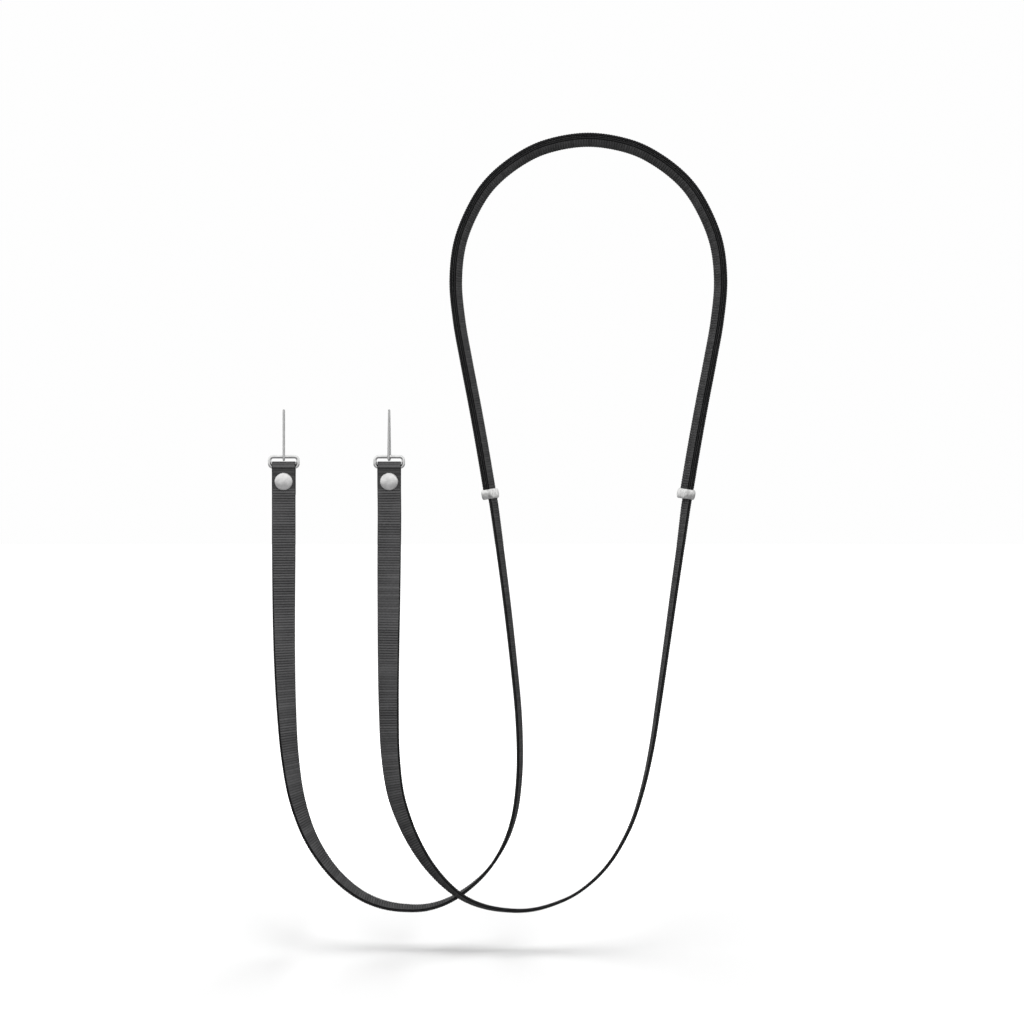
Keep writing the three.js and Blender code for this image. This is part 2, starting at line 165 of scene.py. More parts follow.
class Board:
    """A node tree and the ways to add to it."""

    def __init__(self, tree):
        self.tree = tree

    def node(self, kind, settings=None, sockets=None):
        """Adds a node and returns its outputs by name and by number."""
        made = self.tree.nodes.new(kind)
        for name, value in (settings or {}).items():
            if name == "stops":
                fill_ramp(made.color_ramp, value)
            else:
                setattr(made, name, value)
        inputs = [socket for socket in made.inputs if socket.enabled]
        by_name = {socket.name: socket for socket in reversed(inputs)}
        for key, value in (sockets or {}).items():
            socket = inputs[key] if isinstance(key, int) else by_name[key]
            if isinstance(value, Wire):
                self.tree.links.new(value.socket, socket)
            else:
                socket.default_value = value
        outputs = [Wire(self, socket) for socket in made.outputs if socket.enabled]
        return {wire.socket.name: wire for wire in reversed(outputs)} | dict(enumerate(outputs))

    def noise(self, scale):
        """Noise that stays with the piece when it moves."""
        place = self.node("ShaderNodeTexCoord")["Object"]
        return self.node("ShaderNodeTexNoise", {}, {"Vector": place, "Scale": scale})["Fac"]

    def chance(self, number):
        """A fixed random value for each whole number."""
        return self.node("ShaderNodeTexWhiteNoise", {"noise_dimensions": "1D"}, {"W": number})["Value"]

    def blend(self, share, one, other):
        sockets = {"Factor": share, "A": one, "B": other}
        return self.node("ShaderNodeMix", {"data_type": "RGBA"}, sockets)["Result"]

    def scaled(self, vector, share):
        settings = {"operation": "SCALE"}
        return self.node("ShaderNodeVectorMath", settings, {"Vector": vector, "Scale": share})["Vector"]

    def joined(self, one, other):
        return self.node("ShaderNodeVectorMath", {"operation": "ADD"}, {0: one, 1: other})["Vector"]


# %% [markdown]
# ## Geometry trees
# What repeats along a path, such as ribs, braids and bent wire, is made by Geometry Nodes. A tree is
# built once with named sizes, runs on a route that is only a chain of points, and its result is kept as
# a plain mesh. The route carries, for each point, the way across the band and the way through it.

# %% Helpers for geometry trees
class Shaper(Board):
    """A geometry tree with named sizes: plain numbers, apart from a centre and a finish."""

    KINDS = {"Centre": "NodeSocketVector", "Finish": "NodeSocketMaterial"}

    def __init__(self, name, sizes):
        super().__init__(bpy.data.node_groups.new(name, "GeometryNodeTree"))
        face = self.tree.interface
        face.new_socket("Geometry", in_out="INPUT", socket_type="NodeSocketGeometry")
        for label in sizes:
            kind = self.KINDS.get(label, "NodeSocketFloat")
            face.new_socket(label, in_out="INPUT", socket_type=kind)
        face.new_socket("Geometry", in_out="OUTPUT", socket_type="NodeSocketGeometry")
        self.given = self.node("NodeGroupInput")

    def place(self):
        return self.node("GeometryNodeInputPosition")["Position"]

    def keep(self, geometry, name, value, kind="FLOAT"):
        sockets = {"Geometry": geometry, "Name": name, "Value": value}
        return self.node("GeometryNodeStoreNamedAttribute", {"data_type": kind}, sockets)["Geometry"]

    def kept(self, name, kind="FLOAT"):
        return self.node("GeometryNodeInputNamedAttribute", {"data_type": kind}, {"Name": name})["Attribute"]

    def even_line(self, step):
        """The route as a curve with its points one step apart."""
        line = self.node("GeometryNodeMeshToCurve", {}, {"Mesh": self.given["Geometry"]})["Curve"]
        sockets = {"Curve": line, "Length": step}
        return self.node("GeometryNodeResampleCurve", {"mode": "LENGTH"}, sockets)["Curve"]

    def circle(self, sides, radius):
        sockets = {"Resolution": sides, "Radius": radius}
        return self.node("GeometryNodeCurvePrimitiveCircle", {}, sockets)["Curve"]

    def tube(self, route, section, caps):
        sockets = {"Curve": route, "Profile Curve": section, "Fill Caps": caps}
        return self.node("GeometryNodeCurveToMesh", {}, sockets)["Mesh"]

    def flipped(self, mesh):
        return self.node("GeometryNodeFlipFaces", {}, {"Mesh": mesh})["Mesh"]

    def finish(self, geometry):
        """Every tree ends alike: smooth, real geometry with its finish on it."""
        smooth = self.node("GeometryNodeSetShadeSmooth", {}, {"Geometry": geometry})["Geometry"]
        real = self.node("GeometryNodeRealizeInstances", {}, {"Geometry": smooth})["Geometry"]
        sockets = {"Geometry": real, "Material": self.given["Finish"]}
        finished = self.node("GeometryNodeSetMaterial", {}, sockets)["Geometry"]
        self.node("NodeGroupOutput", {}, {"Geometry": finished})
        return self.tree


def show(name, mesh):
    piece = bpy.data.objects.new(name, mesh)
    bpy.context.scene.collection.objects.link(piece)
    return piece


def volume_of(mesh):
    mesh.calc_loop_triangles()
    corners = np.zeros(len(mesh.vertices) * 3)
    mesh.vertices.foreach_get("co", corners)
    triangles = np.zeros(len(mesh.loop_triangles) * 3, int)
    mesh.loop_triangles.foreach_get("vertices", triangles)
    a, b, c = np.moveaxis(corners.reshape(-1, 3)[triangles].reshape(-1, 3, 3), 1, 0)
    return float(np.sum(a * np.cross(b, c)) / 6)


def plain_mesh(piece):
    """What a piece's modifiers make of it, as a mesh of its own."""
    graph = bpy.context.evaluated_depsgraph_get()
    return bpy.data.meshes.new_from_object(
        piece.evaluated_get(graph), preserve_all_data_layers=True, depsgraph=graph)


def grow(name, route, tree, sizes, drop=()):
    """Runs a tree on a route and keeps the result as a plain mesh."""
    host = show(f"{name}_route", route)
    modifier = host.modifiers.new("shape", "NODES")
    modifier.node_group = tree
    for item in tree.interface.items_tree:
        if item.in_out == "INPUT" and item.name in sizes:
            modifier[item.identifier] = sizes[item.name]
    mesh = plain_mesh(host)
    bpy.data.objects.remove(host)
    for label in drop:
        mesh.attributes.remove(mesh.attributes[label])
    mesh.name = name
    print(name, "has", len(mesh.polygons), "faces and holds", round(volume_of(mesh) * 1e9, 1), "cubic mm")
    return show(name, mesh)


def chain(name, points, **directions):
    """A route: a chain of points, each with its named directions."""
    mesh = bpy.data.meshes.new(name)
    links = [(index, index + 1) for index in range(len(points) - 1)]
    mesh.from_pydata([tuple(point) for point in points], links, [])
    for label, vectors in directions.items():
        attribute = mesh.attributes.new(label, "FLOAT_VECTOR", "POINT")
        attribute.data.foreach_set("vector", np.asarray(vectors, np.float32).ravel())
    return mesh


# %% [markdown]
# ## Route of the cord loops
# Each cord loop is one thin cord, taken up behind the ring's upper bar, bent over at the top and taken
# down in front, with its two ends under the bar. Straight stretches and half circles give its line, so
# it is worked out from a few sizes. The right loop is turned a little at the bottom.

# %% Sizes of rings and cords
RING_SPACING = 0.0592
RING_REACH = 0.1118
RING_DROP = 0.18195
RING_WIRE = 0.0020
RING_HEIGHT = 0.0078
RING_CORNER = 0.0019
CLEARANCE = 0.0003
CORD_DIAMETER = 0.0012
CORD_LOOP_RISE = 0.0260
CORD_TURNS = {"left": 0.0, "right": 14.0}
CORD_STEP = 0.0001

bar_radius = RING_WIRE / 2
upper_bar_rise = RING_HEIGHT - RING_WIRE
BARS = {
    "left": np.array([-RING_REACH - RING_SPACING, 0, -RING_DROP]),
    "right": np.array([-RING_REACH, 0, -RING_DROP]),
}


# %% The line of a cord loop
def cord_line(side):
    radius = bar_radius + CLEARANCE + CORD_DIAMETER / 2
    straight = CORD_LOOP_RISE - radius
    half_gap = CLEARANCE / radius / 2
    bend_steps = round(math.pi * radius / CORD_STEP)
    straight_steps = round(straight / CORD_STEP)
    under_back = np.linspace(-math.pi / 2 + half_gap, 0, bend_steps // 2, endpoint=False)
    over_top = np.linspace(0, math.pi, bend_steps, endpoint=False)
    under_front = np.linspace(math.pi, math.pi * 3 / 2 - half_gap, bend_steps // 2)
    rise = np.linspace(0, straight, straight_steps, endpoint=False)
    back = np.concatenate([
        radius * np.cos(under_back), np.full(straight_steps, radius), radius * np.cos(over_top),
        np.full(straight_steps, -radius), radius * np.cos(under_front)])
    up = np.concatenate([
        radius * np.sin(under_back), rise, straight + radius * np.sin(over_top),
        straight - rise, radius * np.sin(under_front)])
    turn = math.radians(CORD_TURNS[side]) * (1 - np.maximum(up, 0) / CORD_LOOP_RISE)
    centre = BARS[side] + np.array([0, 0, upper_bar_rise])
    return centre + np.column_stack([back * np.sin(turn), back * np.cos(turn), up])


def length_of(line):
    return float(np.linalg.norm(np.diff(line, axis=0), axis=1).sum())


cord_lines = {side: cord_line(side) for side in BARS}
for side, line in cord_lines.items():
    print("cord loop", side, "is", round(length_of(line) * 1000, 1), "mm long")

# %% [markdown]
# ## Finish of the cords
# A thin round cord has a braided cover of fine yarn in a mid grey, with painted shade between the yarns.
# The shape below stores how high each point of the braid stands, and the finish reads it.

# %% Helpers for finishes
class Surface(Board):
    """A material with one Principled node. Plain numbers are set on the node's own sockets."""

    def __init__(self, name, plain):
        self.material = bpy.data.materials.new(name)
        self.material.use_nodes = True
        super().__init__(self.material.node_tree)
        self.principled = self.tree.nodes["Principled BSDF"]
        for label, value in plain.items():
            self.principled.inputs[label].default_value = value

    def feed(self, label, wire):
        """Links what changes from place to place."""
        self.tree.links.new(wire.socket, self.principled.inputs[label])

    def bump(self, height, distance):
        sockets = {"Height": height, "Distance": distance}
        self.feed("Normal", self.node("ShaderNodeBump", {}, sockets)["Normal"])

    def stored(self, name):
        """A value that the shape keeps on its points."""
        return self.node("ShaderNodeAttribute", {"attribute_name": name})["Fac"]


def varied(shares, *causes):
    """A least share, and what each cause adds to it."""
    total = shares[0]
    for share, cause in zip(shares[1:], causes):
        total = total + share * cause
    return total


# %% Cord finish
CORD_LIGHT = (0.56, 0.56, 0.557, 1.0)
# Colour where the braid sinks between its yarns: painted shade.
CORD_HOLLOW_SHADE = (0.11, 0.11, 0.113, 1.0)
CORD_ROUGHNESS = 0.62
FUZZ_SCALE = 9000.0
FUZZ_SHARES = (0.75, 0.4)
FUZZ_RELIEF = 0.00004


def cord_finish():
    surface = Surface("braided_grey_cord", {"Roughness": CORD_ROUGHNESS})
    fuzz = surface.noise(FUZZ_SCALE)
    # Painted shade: the colour darkens where the braid sinks between its knuckles.
    shade = surface.stored("height") * varied(FUZZ_SHARES, fuzz)
    surface.feed("Base Color", surface.blend(shade, CORD_HOLLOW_SHADE, CORD_LIGHT))
    surface.bump(fuzz, FUZZ_RELIEF)
    return surface.material


# %% [markdown]
# ## Braid of the cords
# Four yarns wind one way and four the other. Where two cross, one stands up as a small knuckle. Two
# waves that run round the cord in opposite helices, multiplied, give exactly that field of knuckles. The
# tree sweeps a circle along the route and lifts each point by the product.

# %% Braid tree
BRAID_YARNS = 4
BRAID_PITCH = 0.0026
BRAID_RELIEF = 0.00009
KNUCKLE_ROUNDNESS = 0.6
CORD_SIDES = 32
CORD_ROW = 0.00012


def braid_tree():
    shaper = Shaper("braided_cord", ("Diameter", "Pitch", "Relief", "Row", "Finish"))
    given = shaper.given
    line = shaper.even_line(given["Row"])
    line = shaper.keep(line, "run", shaper.node("GeometryNodeSplineParameter")["Length"])
    circle = shaper.circle(CORD_SIDES, given["Diameter"] / 2 - given["Relief"])
    circle = shaper.keep(circle, "around", shaper.node("GeometryNodeSplineParameter")["Factor"])
    tube = shaper.tube(line, circle, True)
    helix = shaper.kept("run") / given["Pitch"] * BRAID_YARNS
    turns = shaper.kept("around") * BRAID_YARNS
    height = ((turns + helix).wave() * (turns - helix).wave()) ** KNUCKLE_ROUNDNESS
    tube = shaper.keep(tube, "height", height)
    normal = shaper.node("GeometryNodeInputNormal")["Normal"]
    lift = shaper.scaled(normal, shaper.kept("height") * given["Relief"])
    tube = shaper.node("GeometryNodeSetPosition", {}, {"Geometry": tube, "Offset": lift})["Geometry"]
    return shaper.finish(tube)


# %% Cord loops
def make_cords():
    tree = braid_tree()
    sizes = {
        "Diameter": CORD_DIAMETER, "Pitch": BRAID_PITCH, "Relief": BRAID_RELIEF, "Row": CORD_ROW,
        "Finish": cord_finish(),
    }
    for side, line in cord_lines.items():
        cord = grow(f"braided_cord_{side}", chain("line", line), tree, sizes, ("run", "around"))
        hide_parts(f"cord_loop_{side}")
        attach(cord, f"ring_{side}")


make_cords()

# %% [markdown]
# ## Route of the webbing
# Each band is a flat ribbon whose middle line and whose twist are set by a few listed rows, and
# blended by a smooth curve. A ribbon needs three directions at each point: along it, across it and
# through it. The rows are the same as those of the imported model, so the fine webbing lies in its place.

# %% Sizes of the webbing
WEBBING_WIDTH = 0.0133
WEBBING_THICKNESS = 0.00185
NECK_HALF_WIDTH = 0.0744
NECK_DROP = 0.1990
NECK_LEAN = 15.5
HEM_DROP = 0.43056
RIVET_DROP = 0.0082
TAIL_PAST_RIVET = 0.0074
FOLD_GRIP = 24
FOLD_STEPS = 12
SLIDER_LENGTH = 0.0056
SLIDER_END_INSET = 0.0006
STEPS_PER_SPAN = 16

layer_pitch = WEBBING_THICKNESS + CLEARANCE
lean = math.radians(NECK_LEAN)
crest = np.array([0, math.sin(lean), math.cos(lean)]) * (layer_pitch + WEBBING_THICKNESS) / 2

# %% Rows of the neck loop: shares of its drop and of its half width
NECK_ROWS = (
    (0.0, 0.0), (0.0205, 0.326), (0.0575, 0.527), (0.1135, 0.714), (0.171, 0.831), (0.283, 0.962),
    (0.396, 1.0), (0.509, 0.975), (0.622, 0.922), (0.735, 0.864), (0.85, 0.808), (1.0, 0.74),
)

# %% Rows of a fold: share of the spread round the bar, and share of the drop to the rivet
FOLD_ROWS = ((0.0, 1.0), (0.0, 0.555), (0.35, 0.35))

# %% Rows of each fall and rise: across, down, behind and the turn in degrees
FALL_ROWS = {
    "left": (
        (0.0, 0.1, -0.06, 4), (0.0, 0.2, -0.04, 14), (0.0, 0.315, 0.0, 24), (0.003, 0.43, 0.03, 33),
        (0.0115, 0.542, 0.08, 41.5), (0.029, 0.655, 0.15, 49), (0.063, 0.752, 0.23, 55.5),
        (0.125, 0.836, 0.33, 63), (0.2135, 0.903, 0.42, 69.5), (0.3014, 0.946, 0.48, 73.5),
        (0.3934, 0.9755, 0.53, 76.5), (0.497, 0.9935, 0.56, 79), (0.6195, 1.0, 0.58, 81.8),
    ),
    "right": (
        (0.001, 0.1, -0.07, 3), (0.0, 0.2, -0.08, 9), (-0.001, 0.312, -0.1, 19),
        (-0.002, 0.425, -0.13, 27.5), (-0.001, 0.54, -0.18, 34.5), (0.005, 0.652, -0.25, 40.5),
        (0.0235, 0.74, -0.32, 47), (0.0593, 0.81, -0.4, 54.5), (0.0919, 0.854, -0.45, 60),
        (0.1356, 0.899, -0.51, 66), (0.196, 0.9435, -0.56, 72), (0.256, 0.973, -0.58, 76.3),
        (0.33, 0.992, -0.58, 79.2), (0.428, 1.0, -0.56, 81.4),
    ),
}
RISE_ROWS = {
    "left": (
        (0.7, 0.997, 0.58, 83.6), (0.79, 0.983, 0.58, 85.8), (0.8775, 0.9575, 0.57, 88.2),
        (0.9743, 0.9155, 0.53, 91.3), (1.0385, 0.872, 0.48, 93.8), (1.087, 0.8235, 0.43, 96.4),
        (1.12, 0.768, 0.37, 98.4), (1.1385, 0.698, 0.31, 99.3), (1.144, 0.63, 0.25, 99.8),
        (1.137, 0.53, 0.18, 100.4), (1.115, 0.413, 0.11, 101.1), (1.0825, 0.268, 0.05, 102.3),
        (1.0448, 0.123, 0.01, 103.7),
    ),
    "right": (
        (0.4915, 0.9965, -0.53, 82.4), (0.5588, 0.983, -0.49, 83.5), (0.6261, 0.961, -0.45, 84.9),
        (0.6934, 0.924, -0.4, 86.4), (0.743, 0.8845, -0.36, 87.6), (0.784, 0.838, -0.32, 88.9),
        (0.8215, 0.781, -0.27, 90.6), (0.857, 0.6975, -0.22, 92.8), (0.8845, 0.605, -0.16, 94.8),
        (0.906, 0.505, -0.11, 96.3), (0.9345, 0.362, -0.06, 98.1), (0.9627, 0.218, -0.02, 100.4),
        (0.982, 0.122, 0.0, 102),
    ),
}


# %% A smooth curve through points
def span_ends(points):
    """Every span's two ends with a neighbour on each side; past the ends the curve goes on straight."""
    points = np.asarray(points, float)
    padded = np.vstack([2 * points[0] - points[1], points, 2 * points[-1] - points[-2]])
    return [padded[index:index + 4] for index in range(len(points) - 1)]


def hermite(ends, slopes, share):
    start, finish = ends
    leave, arrive = slopes
    share = np.asarray(share, float)[:, None]
    cubic = 2 * start - 2 * finish + leave + arrive
    square = -3 * start + 3 * finish - 2 * leave - arrive
    return ((cubic * share + square) * share + leave) * share + start


def round_curve(points, share):
    """Each span of a centripetal curve at the same shares of the span."""
    found = []
    for before, start, finish, after in span_ends(points):
        gaps = [np.linalg.norm(b - a) ** 0.5 for a, b in ((before, start), (start, finish), (finish, after))]
        first, middle, last = gaps
        leave = (start - before) / first - (finish - before) / (first + middle) + (finish - start) / middle
        arrive = (finish - start) / middle - (after - start) / (middle + last) + (after - finish) / last
        found.append(hermite((start, finish), (leave * middle, arrive * middle), share))
    return found


def even_curve(values, share):
    """Each span of a curve through plain numbers, one number to a row."""
    column = np.asarray(values, float)[:, None]
    return [
        hermite((start, finish), ((finish - before) / 2, (after - start) / 2), share)[:, 0]
        for before, start, finish, after in span_ends(column)]


# %% Directions along a ribbon
def unit(vectors):
    return vectors / np.linalg.norm(vectors, axis=-1, keepdims=True)


def turned_width(along, degrees):
    """Across the band: the left of its travel, turned out of the front plane."""
    left = unit(np.column_stack([-along[:, 2], np.zeros(len(along)), along[:, 0]]))
    angle = np.radians(degrees)[:, None]
    return left * np.cos(angle) + np.array([0, 1, 0]) * np.sin(angle)


def ribbon(points, width):
    """A dict of the points, the way along, the way across and the way through at each."""
    along = unit(np.gradient(points, axis=0))
    wide = unit(width - along * np.sum(width * along, axis=1, keepdims=True))
    return {"point": points, "along": along, "wide": wide, "through": np.cross(wide, along)}


# %% The neck loop's middle line
def neck_points():
    half = [np.array([x * NECK_HALF_WIDTH, 0, -drop * NECK_DROP]) + crest for drop, x in NECK_ROWS]
    mirrored = [point * np.array([-1, 1, 1]) for point in half[:0:-1]]
    points = mirrored + half
    start = points[0] + unit(points[0] - points[1]) * SLIDER_LENGTH
    finish = points[-1] + unit(points[-1] - points[-2]) * SLIDER_LENGTH
    return np.array([start, *points, finish])


def neck_route():
    share = np.arange(STEPS_PER_SPAN) / STEPS_PER_SPAN
    spans = round_curve(neck_points(), share)
    points = np.vstack([*spans, neck_points()[-1]])
    along = unit(np.gradient(points, axis=0))
    return ribbon(points, turned_width(along, np.full(len(points), 90 + NECK_LEAN)))


neck = neck_route()
print("neck loop's middle line is", round(length_of(neck["point"]), 3), "m long")


# %% One layer of the neck loop
def neck_layer(outward, reverse):
    """The inner layer has outward -1. Its free end stops inside the far slider."""
    layer = dict(neck)
    layer["point"] = neck["point"] - outward * layer_pitch / 2 * neck["through"]
    if reverse:
        layer = {label: values[::-1] for label, values in layer.items()}
        layer["along"] = -layer["along"]
        layer["wide"] = -layer["wide"]
    past = np.linalg.norm(layer["point"] - layer["point"][-1], axis=1)
    kept = past > SLIDER_LENGTH / 2 + SLIDER_END_INSET
    kept[:len(kept) // 2] = True
    return {label: values[kept] for label, values in layer.items()}


# %% A fold round a ring's bar
bar_gap = bar_radius + CLEARANCE
fold_radius = bar_gap + WEBBING_THICKNESS / 2


def fold_points(bar):
    seat = layer_pitch / 2
    back = [(seat + spread * (fold_radius - seat), -down * RIVET_DROP) for spread, down in FOLD_ROWS]
    angles = np.radians(np.linspace(-FOLD_GRIP, 180 + FOLD_GRIP, FOLD_STEPS + 1))
    over = [(fold_radius * math.cos(angle), fold_radius * math.sin(angle)) for angle in angles]
    front = [(-y, z) for y, z in reversed(back)]
    tail = (seat, -RIVET_DROP - TAIL_PAST_RIVET)
    return [bar + np.array([0, y, z]) for y, z in (tail, *back, *over, *front)]


# %% A whole band, from its tail to its free end
GUIDE_SPAN = 1.2
STRAPS = {
    "left": {"outward": -1, "reverse": False, "twist": 1},
    "right": {"outward": 1, "reverse": True, "twist": -1},
}


def leg_points(rows, bar, slider, top):
    return [
        np.array([
            bar[0] + across * (slider[0] - bar[0]), behind * WEBBING_WIDTH, top - down * (HEM_DROP + top)])
        for across, down, behind, _ in rows]


def strap_route(side):
    strap = STRAPS[side]
    bar = BARS[side]
    layer = neck_layer(strap["outward"], strap["reverse"])
    slider = neck_points()[-2 if strap["reverse"] else 1]
    fold = fold_points(bar)
    fall = leg_points(FALL_ROWS[side], bar, slider, bar[2])
    rise = leg_points(RISE_ROWS[side], bar, slider, slider[2])
    guide = layer["point"][round(GUIDE_SPAN * STEPS_PER_SPAN)]
    points = [*fold, *fall, *rise, layer["point"][0], guide]
    turns = [0.0] * len(fold) + [row[3] for row in (*FALL_ROWS[side], *RISE_ROWS[side])]
    turns += [90 + NECK_LEAN] * 2
    share = np.arange(STEPS_PER_SPAN) / STEPS_PER_SPAN
    line = np.vstack(round_curve(points, share)[:-1])
    turn = strap["twist"] * np.concatenate(even_curve(turns, share)[:-1])
    along = unit(np.gradient(line, axis=0))
    width = turned_width(along, turn)
    width[:(len(fold) - 1) * STEPS_PER_SPAN + 1] = (1, 0, 0)
    leg = ribbon(line, width)
    return {label: np.vstack([leg[label], layer[label]]) for label in leg}


strap_routes = {side: strap_route(side) for side in STRAPS}

# %% [markdown]
# ## Shape of the webbing
# Ribbed webbing has thick weft cords that lie across it side by side and show as ribs on both faces,
# with a firm, rounded edge. Ribs could be a picture or a bump, but they show on the outline of a folded
# band, so they are real here: the tree sweeps a flat section along the route in six rows to a rib,
# and sinks the rows between two ribs. The section is a circle whose quarters are moved apart.

# %% Webbing tree
RIB_PITCH = 0.00145
RIB_HEIGHT = 0.00027
RIB_ROUNDNESS = 0.8
ROWS_PER_RIB = 6
SECTION_POINTS = 20
EDGE_ROUND = 0.00045
EDGE_DEPTH = 0.00008
FUSED_END = 0.0012
PRESSED_END = 0.0365
PRESSED_FADE = 0.003
FLATTENED = 0.7


def webbing_tree():
    shaper = Shaper("ribbed_webbing", (
        "Width", "Thickness", "Edge round", "Rib pitch", "Rib height", "Edge depth", "Fused end",
        "Pressed end", "Finish"))
    given = shaper.given
    line = shaper.even_line(given["Rib pitch"] / ROWS_PER_RIB)
    run = shaper.node("GeometryNodeSplineParameter")["Length"]
    whole = shaper.node("GeometryNodeSplineLength")["Length"]
    line = shaper.keep(line, "run", run)
    line = shaper.keep(line, "to_end", run.smallest(whole - run))
    line = shaper.keep(line, "spot", shaper.place(), "FLOAT_VECTOR")
    corner = shaper.node("ShaderNodeSeparateXYZ", {}, {0: shaper.place()})
    rounding = given["Edge round"]
    across = corner["X"] * rounding + corner["X"].sign() * (given["Width"] / 2 - rounding)
    section = shaper.keep(shaper.circle(SECTION_POINTS, 1.0), "across", across)
    height = corner["Y"] * rounding + corner["Y"].sign() * (given["Thickness"] / 2 - rounding)
    section = shaper.keep(section, "height", height / (given["Thickness"] / 2))
    band = shaper.tube(line, section, True)
    return shaper.finish(rib_band(shaper, band))


# %% Ribs on the band
def rib_band(shaper, band):
    given = shaper.given
    rib = (shaper.kept("run") / given["Rib pitch"]).wave() ** RIB_ROUNDNESS
    fused = 1 - shaper.kept("to_end").step(0.0, given["Fused end"])
    pressed = 1 - shaper.kept("run").step(given["Pressed end"] - PRESSED_FADE, given["Pressed end"])
    band = shaper.keep(band, "fused", fused)
    band = shaper.keep(band, "pressed", pressed)
    band = shaper.keep(band, "rib", rib)
    firm = (1 - FLATTENED * shaper.kept("fused")) * (1 - FLATTENED * shaper.kept("pressed"))
    groove = (1 - shaper.kept("rib")) * firm
    height = shaper.kept("height")
    across = shaper.kept("across")
    deep = height * (given["Thickness"] / 2 - groove * given["Rib height"])
    side = across - across.sign() * groove * given["Edge depth"] * (1 - abs(height))
    wide = shaper.scaled(shaper.kept("wide", "FLOAT_VECTOR"), side)
    through = shaper.scaled(shaper.kept("through", "FLOAT_VECTOR"), deep)
    place = shaper.joined(shaper.kept("spot", "FLOAT_VECTOR"), shaper.joined(wide, through))
    band = shaper.node("GeometryNodeSetPosition", {}, {"Geometry": band, "Position": place})["Geometry"]
    return shaper.flipped(band)


# %% [markdown]
# ## Finish of the webbing
# The yarn is black with a soft grey on its ribs, and the colour has painted shade in it: the grooves
# between the ribs and the firm edges are painted near black, apart from a less dark line along the middle
# of each edge. On each rib lie fine warp yarns, side by side, and they change place from one rib to the
# next as in any plain weave. They are far too many to model, so a small bump draws them, with painted
# shade between them. No two ribs are quite alike, so each gets its own small change of colour, and the
# painted shade in the grooves is deep in one stretch and light in the next. Where the band is pressed
# round the ring its colour has painted shade, with a painted highlight on the bulge over the bar and a
# painted shadow in the crease below it.

# %% Webbing finish
YARN_PITCH = 0.00046
RIB_TOP = (0.088, 0.0875, 0.089, 1.0)
# Colour of the grooves between the ribs: painted shade.
GROOVE_PAINTED_SHADE = (0.006, 0.006, 0.0063, 1.0)
# Colour of the band's sides: painted shade, with a less dark line along their middle.
EDGE_PAINTED_SHADE = (0.0025, 0.0025, 0.0027, 1.0)
EDGE_MIDDLE = (0.02, 0.02, 0.0205, 1.0)
EDGE_INSETS = (0.00055, 0.0001)
EDGE_MIDDLE_END = (0.05, 0.45)
BULGE_RISE = (0.0155, 0.0165)
BULGE_FALL = (0.0225, 0.0231)
CREASE_RISE = (0.0227, 0.0231)
CREASE_FALL = (0.0231, 0.0243)
PATCH_SCALE = 38.0
PATCH_EDGES = (0.3, 0.66)
WEAVE_SCALE = 900.0
FIBRE_SCALE = 5200.0
GROOVE_SHARES = (0.2, 0.85)
RIB_SHARES = (0.6, 0.42, 0.35)
YARN_SHARES = (0.6, 0.25, 0.25)
WEAVE_SHARES = (0.7, 0.6)
EDGE_SHARES = (0.6, 0.8)
PRESSED_SHALLOW = 0.6
# Painted shade where the band is pressed round the ring, a painted highlight on the bulge over the bar, and
# a painted shadow in the crease below it.
PRESSED_PAINTED_SHADE = 0.45
BULGE_PAINTED_HIGHLIGHT = 0.75
CREASE_PAINTED_SHADOW = 0.5
YARN_GLOSS = 0.06
YARN_ROUGHNESS = 0.8
SEALED_SHINE = 0.25
YARN_SHINE = 0.1
FIBRE_SHARE = 0.35
YARN_RELIEF = 0.00007


def stretch(run, rise, fall):
    """1 between two soft edges along the band."""
    return run.step(*rise) * (1 - run.step(*fall))


